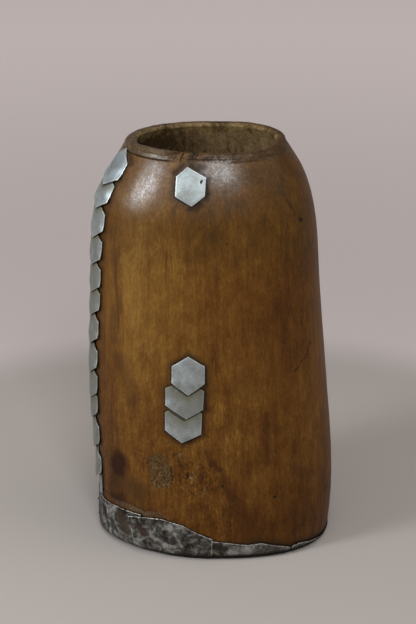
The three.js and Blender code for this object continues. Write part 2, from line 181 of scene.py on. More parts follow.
def close_material(place, bump=None, **sockets):
    """Ends a material in its surface shader. `bump` is the height of its fine relief in mm."""
    inputs = {name.replace("_", " "): value for name, value in sockets.items()}
    if bump:
        inputs["Normal"] = place.node("Bump", {"Height": bump, "Distance": MM})
    shader = place.node("BsdfPrincipled", inputs)
    shader.add_node("OutputMaterial", {"Surface": shader})


FLOOR_TONE = (0.392, 0.345, 0.314)
SWEEP_TONE = (0.42, 0.365, 0.35)
SWEEP_GLOW = (0.38, 0.335, 0.325)
SWEEP_START = 0.31
SWEEP_END = 0.40
GLOW_END = 1.7

bpy.ops.mesh.primitive_plane_add(size=9)
floor = bpy.context.object
floor.name = "floor"
floor_paper, place = new_material("floor_paper")
reach = place.vector("LENGTH", (0, 0, 0), 1)
sweep = reach.fade(SWEEP_START, SWEEP_END)
seen = place.node("LightPath", {}, "Is Camera Ray")
for kind in ("Glossy", "Transmission"):
    seen = seen + place.node("LightPath", {}, f"Is {kind} Ray")
glow = seen * (0.26 * sweep + 0.6 * reach.fade(SWEEP_START, GLOW_END))
close_material(
    place,
    Base_Color=sweep.paint(FLOOR_TONE, SWEEP_TONE),
    Roughness=0.85,
    Emission_Color=glow.paint((0.0, 0.0, 0.0), SWEEP_GLOW),
    Emission_Strength=1.0,
)
floor.data.materials.append(floor_paper)


# Lights
# A tall soft light leans in from the left and a smaller one hangs in front. Two broad weak ones, from
# the right and from above, and a pale room fill the shadows.

WHITE = (1, 1, 1)
COOL = (0.93, 1, 1.05)


def soft_light(name, azimuth, elevation, distance, width, height, power, lean=0, colour=WHITE):
    """Rectangular light that faces the vessel. Azimuth 0 is in front, and more is to the right."""
    turn, rise = math.radians(azimuth), math.radians(elevation)
    middle = Vector((0, 0, 160 * MM))
    away = Vector((math.sin(turn) * math.cos(rise), -math.cos(turn) * math.cos(rise), math.sin(rise)))
    bpy.ops.object.light_add(type="AREA", location=middle + distance * away)
    light = bpy.context.object
    light.name = name
    facing = (-away).to_track_quat("-Z", "Y")
    light.rotation_euler = (facing @ Quaternion((0, 0, 1), math.radians(-lean))).to_euler()
    light.data.shape = "RECTANGLE"
    light.data.size = width
    light.data.size_y = height
    light.data.energy = power
    light.data.color = colour
    light.visible_camera = False


soft_light(
    "left_light", azimuth=-60, elevation=24, distance=1.4,
    width=0.3, height=0.6, power=13.5, lean=28, colour=COOL,
)
soft_light(
    "front_light", azimuth=6, elevation=39, distance=1.5,
    width=0.32, height=0.22, power=8.3, colour=COOL,
)
soft_light("right_light", azimuth=80, elevation=30, distance=1.5, width=1.2, height=1.2, power=4)
soft_light("top_light", azimuth=20, elevation=78, distance=1.6, width=1.2, height=1.0, power=7.5)

world = bpy.data.worlds.new("room")
bpy.context.scene.world = world
world.use_nodes = True
world.node_tree.nodes["Background"].inputs["Color"].default_value = (0.22, 0.205, 0.2, 1)


# Vessel
# One log, carved hollow with adze and gouge, oval in section, and dark and glossy from oil and
# handling. A groove is cut round it under the rounded rim, and it has cracked and worn with use.

HEIGHT = 300 * MM
WALL = 9 * MM
FLOOR_THICKNESS = 22 * MM
CAVITY_ROUNDING = 20 * MM
FOOT_HEIGHT = 1 * MM
RIM_RADIUS = 4.2 * MM
RIM_HEIGHT = HEIGHT - RIM_RADIUS
GROOVE_HEIGHT = HEIGHT - 5.8 * MM
SHOULDER_HEIGHT = HEIGHT - 61 * MM
# Height of a stop, and there the wall's reach to the left, to the right and to the front, in mm
WALL_STOPS = (
    (0, 85, 87.6, 69.4),
    (42, 84.6, 90, 69.8),
    (118, 88.2, 84.5, 67.5),
    (193, 86.4, 78.2, 64.5),
    (239, 84.5, 74.8, 61.5),
    (262, 80.6, 70.4, 58.3),
    (275, 74.2, 65.6, 54.8),
    (288, 66.6, 57.6, 49.3),
    (296, 62, 52.4, 45),
)
# How square the section is: 2 is an oval, and more is squarer
SQUARENESS_LEFT = 2.15
SQUARENESS_RIGHT = 2.5
# Angle round the foot in degrees, and there the radius of its rounded edge in mm
FOOT_ROUNDING = ((0, 5), (180, 3.5), (222, 9), (264, 5), (360, 5))
UP = Vector((0, 0, 1))


def blend(low, high, share):
    return low + (high - low) * share


def soft_step(low, high, value):
    """0 where the value is `low` and 1 where it is `high`, with a soft change between."""
    share = min(max((value - low) / (high - low), 0), 1)
    return share * share * (3 - 2 * share)


@lru_cache(maxsize=None)
def wall_reaches(height):
    """The wall's reach to the left, right and front, on a smooth curve through the stops."""
    stops = WALL_STOPS
    height = min(max(height / MM, stops[0][0]), stops[-1][0])
    i = max(k for k in range(len(stops) - 1) if stops[k][0] <= height)
    span = stops[i + 1][0] - stops[i][0]
    t = (height - stops[i][0]) / span
    reaches = []
    for column in (1, 2, 3):
        slopes = [(b[column] - a[column]) / (b[0] - a[0]) for a, b in zip(stops, stops[1:])]
        start = span * (slopes[max(i - 1, 0)] + slopes[i]) / 2
        end = span * (slopes[i] + slopes[min(i + 1, len(slopes) - 1)]) / 2
        low, high = stops[i][column], stops[i + 1][column]
        curved = t * (1 - t) * ((1 - t) * (start - (high - low)) - t * (end - (high - low)))
        reaches.append((blend(low, high, t) + curved) * MM)
    return reaches


def wall_point(angle, height):
    """Point on the outside of the wall, at an angle in radians, before the foot is rounded."""
    left, right, front = wall_reaches(height)
    across, along = math.cos(angle), math.sin(angle)
    side, squareness = (right, SQUARENESS_RIGHT) if across > 0 else (left, SQUARENESS_LEFT)
    total = (abs(across) / side) ** squareness + (abs(along) / front) ** squareness
    reach = total ** (-1 / squareness)
    return Vector((reach * across, reach * along, height))


def wall_around(angle, height, nudge=0.002):
    """Which way the wall runs round the vessel, and how far it goes in one radian."""
    return (wall_point(angle + nudge, height) - wall_point(angle - nudge, height)) / (2 * nudge)


def wall_up(angle, height, nudge=0.5 * MM):
    """Which way the wall runs upwards, and how far it goes for each metre up."""
    return (wall_point(angle, height + nudge) - wall_point(angle, height - nudge)) / (2 * nudge)


def level_normal(angle, height):
    return wall_around(angle, height).cross(UP).normalized()


def foot_radius(angle):
    degrees = math.degrees(angle) % 360
    for (low, low_radius), (high, high_radius) in zip(FOOT_ROUNDING, FOOT_ROUNDING[1:]):
        if degrees <= high:
            return blend(low_radius, high_radius, soft_step(low, high, degrees)) * MM


def foot_turn(angle, height):
    """How far the rounded foot has turned from the wall towards the base, in radians."""
    radius = foot_radius(angle)
    return math.asin(min(max((FOOT_HEIGHT + radius - height) / radius, 0), 1))


def skin_point(angle, height, out=0.0):
    """Point that lies `out` beyond the wood, with the foot rounded."""
    turn = foot_turn(angle, height)
    normal = level_normal(angle, height)
    if turn == 0:
        face = wall_around(angle, height).cross(wall_up(angle, height)).normalized()
    else:
        face = math.cos(turn) * normal - math.sin(turn) * UP
    return wall_point(angle, height) - foot_radius(angle) * (1 - math.cos(turn)) * normal + out * face


def inset_point(angle, inset, level, height):
    """Point that lies inside the wall of one level, put at another height."""
    point = wall_point(angle, level) - inset * level_normal(angle, level)
    point.z = height
    return point


def drawn_in(share, point):
    """The point moved level to a share of its distance from the upright axis."""
    return Vector((share, share, 1)) * point


def steps(low, high, pitch):
    """Even steps from one value to another, both ends included."""
    count = max(1, math.ceil(abs(high - low) / pitch))
    return [blend(low, high, i / count) for i in range(count + 1)]


def vessel_rings():
    """Rings from the middle of the base out, up the wall, over the rim and down inside: how far
    inside the rim each one is, from 0 to 1, and the function that gives its points."""
    for share in (0.4, 0.75, 0.95):
        yield 0, lambda a, s=share: drawn_in(s, inset_point(a, foot_radius(a), FOOT_HEIGHT, FOOT_HEIGHT))
    for turn in (90, 67, 45, 22, 0):
        rise = 1 - math.sin(math.radians(turn))
        yield 0, lambda a, r=rise: skin_point(a, FOOT_HEIGHT + foot_radius(a) * r)
    for height in steps(20 * MM, SHOULDER_HEIGHT, 11 * MM) + steps(245 * MM, 291 * MM, 6.5 * MM):
        yield 0, lambda a, h=height: wall_point(a, h)
    for height in steps(GROOVE_HEIGHT - 1.5 * MM, RIM_HEIGHT, 0.6 * MM):
        yield 0, lambda a, h=height: wall_point(a, h)
    for turn in steps(math.pi / 9, math.pi, math.pi / 9):
        inset, rise = RIM_RADIUS * (1 - math.cos(turn)), RIM_RADIUS * math.sin(turn)
        yield turn / math.pi, lambda a, i=inset, r=rise: inset_point(a, i, RIM_HEIGHT, RIM_HEIGHT + r)
    for height in steps(288 * MM, SHOULDER_HEIGHT, 9 * MM) + steps(225 * MM, 42 * MM, 16 * MM):
        yield 1, lambda a, h=height: inset_point(a, WALL, h, h)
    foot = FLOOR_THICKNESS + CAVITY_ROUNDING
    for turn in (30, 60, 90):
        inset = WALL + CAVITY_ROUNDING * (1 - math.cos(math.radians(turn)))
        height = foot - CAVITY_ROUNDING * math.sin(math.radians(turn))
        yield 1, lambda a, i=inset, h=height: inset_point(a, i, foot, h)
    inset = WALL + CAVITY_ROUNDING
    for share in (0.7, 0.4, 0.15):
        yield 1, lambda a, s=share: drawn_in(s, inset_point(a, inset, foot, FLOOR_THICKNESS))


def choose(piece):
    """Makes one piece the only selected one and the active one."""
    bpy.ops.object.select_all(action="DESELECT")
    piece.select_set(True)
    bpy.context.view_layer.objects.active = piece


def smooth_object(piece, sharp_from=None):
    choose(piece)
    if sharp_from is None:
        bpy.ops.object.shade_smooth()
    else:
        bpy.ops.object.shade_smooth_by_angle(angle=math.radians(sharp_from))


def apply_modifier(piece, kind, **settings):
    modifier = piece.modifiers.new(kind.lower(), kind)
    for name, value in settings.items():
        setattr(modifier, name, value)
    bpy.context.view_layer.objects.active = piece
    bpy.ops.object.modifier_apply(modifier=modifier.name)


CAGE_SIDES = 64
CENTRE_RADIUS = 8 * MM

centre = {"radius": CENTRE_RADIUS, "location": (0, 0, FOOT_HEIGHT)}
bpy.ops.mesh.primitive_circle_add(vertices=CAGE_SIDES, fill_type="TRIFAN", **centre)
vessel = bpy.context.object
vessel.name = "carved_vessel"
bpy.ops.object.transform_apply(location=True, rotation=False, scale=False)
bpy.ops.object.mode_set(mode="EDIT")
bpy.ops.mesh.select_mode(type="EDGE")
bpy.ops.mesh.select_all(action="DESELECT")
cage = bmesh.from_edit_mesh(vessel.data)
round_layer = cage.verts.layers.float.new("round")
inside_layer = cage.verts.layers.float.new("inside")
for corner in cage.verts:
    corner[round_layer] = math.atan2(corner.co.y, corner.co.x)
for edge in cage.edges:
    edge.select_set(edge.is_boundary)
bmesh.update_edit_mesh(vessel.data)
for inside, ring_point in vessel_rings():
    bpy.ops.mesh.extrude_region_move()
    cage = bmesh.from_edit_mesh(vessel.data)
    round_layer = cage.verts.layers.float["round"]
    inside_layer = cage.verts.layers.float["inside"]
    for corner in cage.verts:
        if corner.select:
            corner.co = ring_point(corner[round_layer])
            corner[inside_layer] = inside
bpy.ops.mesh.edge_face_add()
bpy.ops.mesh.poke()
bpy.ops.mesh.select_all(action="SELECT")
bpy.ops.mesh.normals_make_consistent(inside=False)
bpy.ops.object.mode_set(mode="OBJECT")
vessel.data.attributes.remove(vessel.data.attributes["round"])
apply_modifier(vessel, "SUBSURF", levels=2, render_levels=2)

ADZE_MARK = 11 * MM
GROOVE_HALF_WIDTH = 0.6 * MM
GROOVE_LEFT_DEPTH = 0.75
GROOVE_RIGHT_DEPTH = 0.3
LIP_SWELL = 0.4
LIP_EXTRA = 3.4


def lumps(point, size, stretch=1.0):
    """Smooth noise from -1 to 1 in lumps of one size, drawn out upwards."""
    return noise.noise(Vector((point.x / size, point.y / size, point.z / (size * stretch))))


def degrees_round(point):
    """Where a point is round the vessel: 180 is on the left and 270 in front."""
    return math.degrees(math.atan2(point.y, point.x)) % 360


def groove_depth(point):
    """Depth of the groove in mm. It shows on the left of the front and faintly on the right, and is
    worn away elsewhere."""
    if abs(point.z - GROOVE_HEIGHT) > GROOVE_HALF_WIDTH:
        return 0
    degrees = degrees_round(point)
    left = soft_step(170, 196, degrees) * (1 - soft_step(230, 243, degrees))
    right = soft_step(284, 290, degrees) * (1 - soft_step(303, 309, degrees))
    cut = GROOVE_LEFT_DEPTH * left + GROOVE_RIGHT_DEPTH * right
    return cut * (1 - ((point.z - GROOVE_HEIGHT) / GROOVE_HALF_WIDTH) ** 2)


def lip_fullness(point):
    """How far the wall swells, in mm, to run up into the rim with no step."""
    height = point.z / MM
    return LIP_SWELL * soft_step(264, 296, height) * (1 - soft_step(296.5, 299, height))


def lip_thickness(point, inside):
    """How much further in the lip reaches on the left of the front, in mm."""
    degrees = degrees_round(point)
    share = 0.35 * soft_step(150, 185, degrees) + 0.65 * soft_step(192, 212, degrees)
    share *= 1 - soft_step(224, 250, degrees)
    return LIP_EXTRA * share * soft_step(0.2, 0.8, inside) * soft_step(282, 294, point.z / MM)


def carved_depth(point, inside):
    """How deep the tools and wear have gone into the smooth shape at a point, in mm."""
    if inside < 0.02:
        cells = Vector((point.x / ADZE_MARK, point.y / ADZE_MARK, point.z / (1.7 * ADZE_MARK)))
        scallop = noise.voronoi(cells)[0][0]
        depth = 0.25 + 0.3 * lumps(point, 45 * MM, 1.6) + 0.16 * scallop + 0.06 * lumps(point, 6 * MM)
        return max(depth, 0) + groove_depth(point) - lip_fullness(point)
    if inside < 0.98:
        worn = 0.3 + 0.45 * lumps(point, 14 * MM) + 0.2 * lumps(point, 5 * MM)
        return max(worn, 0) - lip_fullness(point) * soft_step(0.5, 0.3, inside)
    return 0.5 + 0.5 * lumps(point, 9 * MM, 5) + 0.3 * lumps(point, 30 * MM, 2)


def store(piece, name, values):
    """Keeps a value on each point of the mesh, for its material."""
    layer = piece.data.attributes.new(name, "FLOAT", "POINT")
    layer.data.foreach_set("value", values)


insides = [value.value for value in vessel.data.attributes["inside"].data]
normals = [Vector(normal.vector) for normal in vessel.data.vertex_normals]
store(vessel, "groove", [groove_depth(corner.co) for corner in vessel.data.vertices])
for corner, normal, inside in zip(vessel.data.vertices, normals, insides):
    inwards = Vector((-corner.co.x, -corner.co.y, 0)).normalized()
    thickening = lip_thickness(corner.co, inside) * MM * inwards
    corner.co += thickening - carved_depth(corner.co, inside) * MM * normal
smooth_object(vessel)

# Marks on the wood: from one place to another, each in degrees round the vessel and mm up it, then
# the half width of the mark and the width of its blurred edge in mm, and how strong it is
DARK_MARKS = (
    (327.5, 251, 327.5, 251, 1.5, 1.2, 0.95),
    (328, 257, 327.5, 254, 0.2, 1.2, 0.5),
    (319, 270, 323.6, 256, 0.3, 1.4, 0.45),
    (278.7, 238.7, 278.7, 238.7, 0.5, 0.8, 0.8),
    (316.7, 125.6, 316.7, 125.6, 0.5, 0.8, 0.8),
    (276.4, 60, 276.4, 60, 0.9, 0.6, 1),
    (305.1, 48, 305.1, 48, 1, 0.7, 1),
    (255.2, 68.5, 255.8, 64.5, 0.8, 0.7, 1),
    (258.5, 68.5, 259, 67, 0.3, 0.8, 0.7),
    (232.4, 80, 232.3, 66, 0.2, 1.3, 0.55),
    (246.2, 73, 245.4, 60, 0.2, 1.2, 0.7),
    (329.5, 159.2, 325, 150, 0.3, 1.2, 0.8),
    (325, 150, 318.2, 143.3, 0.3, 1.2, 0.75),
    (311.5, 161, 309.8, 153, 0.1, 0.9, 0.6),
    (338.8, 233, 337.2, 221, 0.3, 1.1, 0.9),
)
BURNS = (
    (211.5, 62, 213.5, 69, 3.5, 9, 1),
    (207.5, 42, 209, 58, 1, 9, 0.6),
    (208, 37, 214, 39, 1.5, 7, 0.85),
)
# Smudges on the wood. The fourth and fifth rows are painted shadow, to the right of and below the scale
# under the rim
SMUDGES_AND_SHADOWS = (
    (199, 294, 206, 288, 1, 3, 0.9),
    (241.1, 288, 245.8, 292, 0.6, 3.4, 1),
    (251, 293.5, 262, 290.5, 0.6, 3, 0.9),
    (267.3, 284, 266.2, 270.5, 0.6, 2.4, 0.8),
    (262.5, 266.8, 254.5, 263.2, 0.8, 2.4, 1),
    (214.3, 149.5, 217, 139, 1, 8, 0.4),
    (209.8, 184, 210.6, 160, 0.6, 4.5, 0.45),
    (221, 132, 223, 120, 1, 8, 0.35),
    (316, 68, 325, 60, 1.5, 5, 0.4),
    (338.6, 41.6, 338.6, 41.6, 1.2, 4, 0.6),
    (214, 52, 226, 48, 2, 13, 0.6),
)
RED_STAINS = (
    (301.4, 114, 300.9, 76, 0.4, 3.5, 0.6),
    (266, 86, 270, 77, 0.2, 3.5, 0.6),
    (270, 78, 274, 72, 0.8, 3.5, 0.9),
    (274, 72, 277, 63, 0.4, 3, 0.7),
    (277, 63, 281, 50, 0.8, 4.5, 0.8),
    (283, 42, 292, 28, 2, 9, 0.6),
    (290, 22, 303, 24, 2, 9, 0.5),
)
PALE_MARKS = (
    (257.6, 65, 257.9, 60.5, 0.2, 0.8, 0.7),
    (258.8, 70, 259, 67, 0.1, 0.7, 0.6),
    (251.6, 84.5, 252, 80, 0.3, 1.6, 0.5),
    (303.6, 96.8, 304, 93, 0.2, 0.7, 0.7),
    (304.7, 83.5, 305.1, 81, 0.2, 0.7, 0.6),
    (265.8, 58.5, 266.2, 54.5, 0.2, 0.8, 0.5),
)
# Middle lines of the pitted and the scuffed patch, in degrees and mm up, and the cracks' degrees
PITTED = (238.6, 74, 239.6, 63)
SCUFFED = (238, 74, 262, 64)
RIM_CRACKS = (243.4, 253.3)


def on_wood(degrees, height):
    """Point on the smooth wood, at degrees round the vessel and mm up it."""
    return skin_point(math.radians(degrees), height * MM)


def marks(place, table):
    """Mask of all the marks in one table."""
    mask = 0.0
    for degrees, up, end_degrees, end_up, reach, blur, strength in table:
        start, end = on_wood(degrees, up), on_wood(end_degrees, end_up)
        gap = place.gap_to(start, end) if start != end else place.gap_to(start)
        mask = (gap.fade(reach + blur, reach) * strength).most(mask)
    return mask


DEEP_BROWN = (0.034, 0.012, 0.002)
DEEP_RED = (0.040, 0.011, 0.002)
OLIVE_BROWN = (0.084, 0.044, 0.006)
RED_BROWN = (0.086, 0.030, 0.003)
BROWN = (0.126, 0.052, 0.007)
HONEY = (0.215, 0.108, 0.018)
# Near black, for dirt and also for painted shade: in the groove, under the scales' lower edges and along
# the bottom of the shoe
DIRT_AND_SHADE = (0.010, 0.006, 0.003)
# Dark brown, for stains and also for the painted shadow beside the scale under the rim
STAIN_AND_SHADE = (0.032, 0.014, 0.004)
BURNT_WOOD = (0.025, 0.007, 0.002)
DUST = (0.085, 0.069, 0.044)
WORN_WOOD = (0.200, 0.150, 0.072)
PITTED_WOOD = (0.066, 0.042, 0.015)
LIP_GREY = (0.135, 0.094, 0.052)
LIP_DARK = (0.040, 0.022, 0.008)
HOLLOW_WOOD = (0.250, 0.158, 0.074)
HOLLOW_DARK = (0.058, 0.032, 0.013)
BAND_WOOD = (0.250, 0.165, 0.065)

wood, place = new_material("carved_wood")
inside = place.field("inside")
groove = place.field("groove")
scale_gap = place.field("scale_gap")
shoe_gap = place.field("shoe_gap")
side = place.along("X") / MM
height = place.along("Z") / MM
wavy = place.jostled(9 * MM, 6 * MM)
uneven = wavy.jostled(2.5 * MM, 2.5 * MM)
fibre = place.grain(0.8 * MM, (1, 1, 7), detail=3, roughness=0.7)
speckle = place.grain(1.6 * MM, (1, 1, 1.6), shift=4.1, detail=4, roughness=0.75)
streak = place.grain(3.2 * MM, (1, 1, 9), shift=0.3, detail=4, roughness=0.65)
vein = place.grain(6 * MM, (1, 1, 12), shift=2.9, detail=3, roughness=0.6, warp=0.3)
cloud = place.grain(42 * MM, (1, 1, 1.5), shift=0.7, detail=3, roughness=0.5, warp=0.5)
mottle = place.grain(10 * MM, (1, 1, 1.5), shift=1.3, detail=5, roughness=0.65, warp=0.4)
scuffed = uneven.gap_to(on_wood(*SCUFFED[:2]), on_wood(*SCUFFED[2:])).fade(24, 8)
scuffed = scuffed.most(height.fade(130, 60) * cloud.fade(0.5, 0.65) * 0.6)

golden = side.fade(5, -38) * height.fade(110, 180) * height.fade(255, 215)
golden = golden.most(side.fade(-30, -55) * height.fade(200, 230) * height.fade(292, 270) * 0.3)
shaded = side.fade(10, 50) * height.fade(130, 190) * 0.5
shaded = shaded.most(height.fade(225, 255) * side.fade(-40, 10) * 0.85).most(height.fade(70, 25) * 0.8)
shaded = shaded.most(side.fade(-58, -80))
fine = mottle.sway(0.9) + streak.sway(0.6) + fibre.sway(0.7) + speckle.sway(0.7)
fineness = 0.65 + 0.2 * side.fade(-40, 0) + 0.4 * height.fade(190, 90) * side.fade(60, 0)
fine = fine * (fineness + 0.4 * height.fade(205, 240))
tone = 0.49 + 0.05 * height.fade(190, 90) + 0.28 * golden - 0.25 * shaded - 0.12 * scuffed
tone = tone + cloud.sway(0.6) + vein.sway(0.5) + fine + speckle.sway(1.1) * scuffed
colour = tone.ramp([(0, DEEP_BROWN), (0.38, RED_BROWN), (0.66, BROWN), (1, HONEY)])
colour = (height.fade(205, 240) * 0.3).paint(colour, OLIVE_BROWN)
stain = scale_gap.fade(6, 0.5) * cloud.fade(0.2, 0.6) * 0.75
stain = stain.most(shoe_gap.fade(8, 1) * side.fade(-5, 40) * 0.75)
stain = stain.most(vein.fade(0.36, 0.26) * 0.5)
colour = stain.paint(colour, STAIN_AND_SHADE)
# Smudges, and painted shadow beside the scale under the rim
smudge_and_shadow = marks(uneven, SMUDGES_AND_SHADOWS) * (0.7 * mottle + 1.1 * speckle)
colour = smudge_and_shadow.paint(colour, STAIN_AND_SHADE)
reddened = marks(uneven, RED_STAINS) * (0.9 * mottle + 0.9 * speckle)
colour = reddened.paint(colour, DEEP_RED)
burnt = marks(wavy, BURNS) * (0.75 + 0.5 * mottle)
colour = burnt.paint(colour, BURNT_WOOD)
dust_edge = shoe_gap + mottle.sway(10) + speckle.sway(3)
dust = dust_edge.fade(5.5, 3.5) * shoe_gap.fade(0.3, 1.5) * side.fade(-25, -45) * side.fade(-78, -62)
colour = (dust * (mottle + speckle.sway(1.2)).fade(0.2, 0.65) * 0.8).paint(colour, DUST)
pitted = uneven.gap_to(on_wood(*PITTED[:2]), on_wood(*PITTED[2:])).fade(10, 6.5) * (0.3 + 1.2 * mottle)
pits = place.grain(1.5 * MM, (1, 1, 1.4), detail=4, shift=2.2, roughness=0.75)
colour = (pitted * 0.6).paint(colour, PITTED_WOOD)
colour = (pitted * pits.fade(0.48, 0.4) * 0.85).paint(colour, DIRT_AND_SHADE)
colour = (pitted * pits.fade(0.54, 0.66) * height.fade(76, 68) * 0.85).paint(colour, WORN_WOOD)
crust = (scale_gap + speckle.sway(4)).fade(1.9, 0.7) * (0.15 + 0.7 * mottle) * side.fade(-78, -50)
dark = marks(uneven, DARK_MARKS).most(crust)
dark = dark.most(shoe_gap.fade(0.5 + 1.5 * side.fade(-20, 20), 0.2) * 0.7)
# Painted shade in the groove, darker where it is cut deeper
dark = dark.most(groove * (0.8 + 0.6 * streak))
dark = dark.most(abs(dust_edge - 5.5).fade(1.2, 0.3) * side.fade(-35, -50) * 0.5)
dark = dark.most(scuffed * speckle.fade(0.36, 0.28) * 0.45)
colour = (dark * 0.94).paint(colour, DIRT_AND_SHADE)
colour = (marks(uneven, PALE_MARKS) * 0.9).paint(colour, WORN_WOOD)

net = abs(place.grain(2.4 * MM, (1, 1, 2), (0, 0.8, 0), shift=0.9) - 0.5)
net = net.least(abs(place.grain(2.4 * MM, (1, 1, 2), (0, -0.7, 0), shift=1.9) - 0.5)).fade(0, 0.07)
left_lip = side.fade(-20, -36)
right_lip = side.fade(-2, 16)
lip_start = height + mottle.sway(7) * (1 - left_lip) + speckle.sway(2)
lip = lip_start.fade(293.4, 295.4) * inside.fade(0.98, 0.9)
rubbed = place.grain(1.7 * MM, (6, 6, 1), shift=5.3, detail=4, roughness=0.75)
lip_tone = 0.12 + 0.33 * left_lip * side.fade(-58, -42) + mottle.sway(1.6)
lip_tone = lip_tone + rubbed.sway(3.4) + speckle.sway(2.6)
lip_colour = lip_tone.fade(0, 1).paint(LIP_DARK, LIP_GREY)
colour = (lip * (0.2 + 0.65 * left_lip + 0.25 * right_lip)).paint(colour, lip_colour)
lip_dirt = (mottle + 0.08 * left_lip + speckle.sway(0.5)).fade(0.48, 0.38)
lip_dirt = (lip_dirt * (0.8 - 0.3 * right_lip)).most(net.fade(0.7, 0.2) * right_lip * 0.35)
for degrees in RIM_CRACKS:
    turned = math.radians(degrees + 90)
    gap = place.vector("DOT_PRODUCT", (math.cos(turned), math.sin(turned), 0), 1) / MM
    gap = abs(gap + streak.sway(3))
    lip_dirt = lip_dirt.most(gap.fade(1.0, 0.5) * place.along("Y").fade(0, -10 * MM))
lip_dirt = lip_dirt * lip
colour = (lip_dirt * 0.9).paint(colour, DIRT_AND_SHADE)
gouge = place.grain(3.4 * MM, (1, 1, 8), shift=3.1, detail=4, roughness=0.65)
hollow_tone = 0.55 + gouge.sway(1.5) + mottle.sway(0.8) + fibre.sway(0.8)
# Painted shade: the inside of the mouth gets darker towards the left
hollow_tone = hollow_tone + speckle.sway(0.6) - 0.55 * side.fade(0, -55)
hollow_colour = hollow_tone.fade(0, 1).paint(HOLLOW_DARK, HOLLOW_WOOD)
colour = inside.fade(0.85, 1.0).paint(colour, hollow_colour)
ragged = height + streak.sway(8) + mottle.sway(14) + cloud.sway(10)
at_back = place.along("Y").fade(-20 * MM, 10 * MM)
band = inside.fade(0.8 - 0.3 * at_back, 0.92 - 0.12 * at_back) * ragged.fade(291, 292.5)
band_tone = 0.45 + mottle.sway(1.8) + speckle.sway(1.6)
colour = (band * 0.85).paint(colour, band_tone.fade(0, 1).paint(STAIN_AND_SHADE, BAND_WOOD))

glossy = inside.fade(0.9, 0.6) * (1 - dark) * (1 - smudge_and_shadow * 0.8) * (1 - lip_dirt)
relief = fibre * 0.035 + speckle * 0.05 + streak * 0.08 + net * 0.04
relief = relief + lip * (rubbed * 0.35 + mottle * 0.4) - lip_dirt * 0.25 - dark * 0.15 - pitted * pits * 0.5
polish = glossy * height.fade(250, 270) * side.fade(60, 0) * (0.5 + 0.5 * net)
polish = polish * (0.1 + 0.9 * speckle + 1.1 * fibre) * (1 - 0.4 * lip)
close_material(
    place,
    bump=relief,
    Base_Color=colour,
    Roughness=0.62 - 0.15 * glossy + 0.12 * (mottle - 0.5) + 0.3 * burnt,
    Specular_IOR_Level=0.13,
    Coat_Weight=polish,
    Coat_Roughness=0.31,
)
vessel.data.materials.append(wood)
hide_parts("vessel_body")
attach(vessel, "root")


# Scales
# Sixteen hexagons and a narrow strip, cut by hand from aluminium sheet and laid on the wood.
# Each is dented and hammered down along its border, and the upper ones lie on the lower ones.

# Sizes of a scale and of its unevenness, in mm
SCALE_THICKNESS = 0.8
CLEARANCE = 0.3
CUT_ERROR = 0.35
BORDER = 1.3
DENT = 0.16
EDGE_ROUNDING = 0.15
SIDE_BEND = 5
COLUMN_SIZE = {"width": 26, "side": 12.4, "height": 28.6}
COLUMN_TOP = 281.4
COLUMN_STEPS = (15.8, 20.6, 20.7, 20.8, 18.2, 22.2, 22.8, 20.2, 16, 24.6, 25.2)
COLUMN_ANGLES = (193, 186)
COLUMN_TILT = 0.07
COLUMN_DROP = 0.25
TRIO_TILT = 0.0625


def scale(
    name, angle, up, width, side, height,
    turn=0, tilt=0.0, under=None, dullness=0.5, drop=0.15, trims=None,
):
    """A scale's place on the wood, size in mm, lean, rise towards its lower point, and upper neighbour.
    `drop` is how far its border is hammered down, in mm, and `trims` moves its corners from the top one
    on to the left, in mm."""
    middle, level = math.radians(angle), up * MM
    return {
        "name": name, "middle": middle, "up": up, "width": width, "side": side, "height": height,
        "lean": math.radians(turn), "tilt": tilt, "under": under, "dullness": dullness,
        "drop": drop, "trims": trims or ((0, 0),) * 6,
        "around": wall_around(middle, level).length / MM, "slope": wall_up(middle, level).length,
    }


def scale_point(scale, across, along, out):
    """Point on the wood, `out` mm above it, of a place on a flat scale."""
    lean = scale["lean"]
    turned_across = across * math.cos(lean) - along * math.sin(lean)
    turned_along = across * math.sin(lean) + along * math.cos(lean)
    angle = scale["middle"] + turned_across / scale["around"]
    return skin_point(angle, (scale["up"] + turned_along / scale["slope"]) * MM, out * MM)


def gap_to_scale(scale, point):
    """Distance in mm from a point at the wood to a scale's outline. It is below 0 under the scale."""
    turn = (math.atan2(point.y, point.x) - scale["middle"] + math.pi) % (2 * math.pi) - math.pi
    across, along = turn * scale["around"], (point.z / MM - scale["up"]) * scale["slope"]
    lean = scale["lean"]
    level = abs(across * math.cos(lean) + along * math.sin(lean))
    upright = abs(along * math.cos(lean) - across * math.sin(lean))
    slant = (scale["height"] - scale["side"]) / scale["width"]
    sloped_gap = (upright + slant * level - scale["height"] / 2) / math.hypot(1, slant)
    return max(level - scale["width"] / 2, sloped_gap)


scales = []
up = COLUMN_TOP
for number, step in enumerate((*COLUMN_STEPS, 0), start=1):
    angle = blend(*COLUMN_ANGLES, (COLUMN_TOP - up) / COLUMN_TOP)
    above = scales[-1] if scales else None
    dullness = min(0.1 + 0.2 * (number - 1), 0.85)
    laps = {"tilt": COLUMN_TILT, "under": above, "dullness": dullness, "drop": COLUMN_DROP}
    scales.append(scale(f"column_scale_{number:02}", angle, up, **COLUMN_SIZE, **laps))
    up -= step
scales[0]["trims"] = ((0.8, 2.2), (0, 0), (0, 0), (0, 0), (0, 0), (0.3, 0.5))
scales.append(scale("column_strip", 193.5, 39.1, 6.5, 15.9, 15.9, under=scales[-1]))
neck_trims = ((-2.4, 0), (0.2, 1.4), (0.5, 0.4), (0.3, 0.2), (-1.3, -0.8), (0.8, -0.8))
fit = {"turn": 7, "tilt": 0.03, "dullness": 0.56, "trims": neck_trims}
scales.append(scale("neck_scale", 254.2, 279, 21, 12.6, 27.6, **fit))
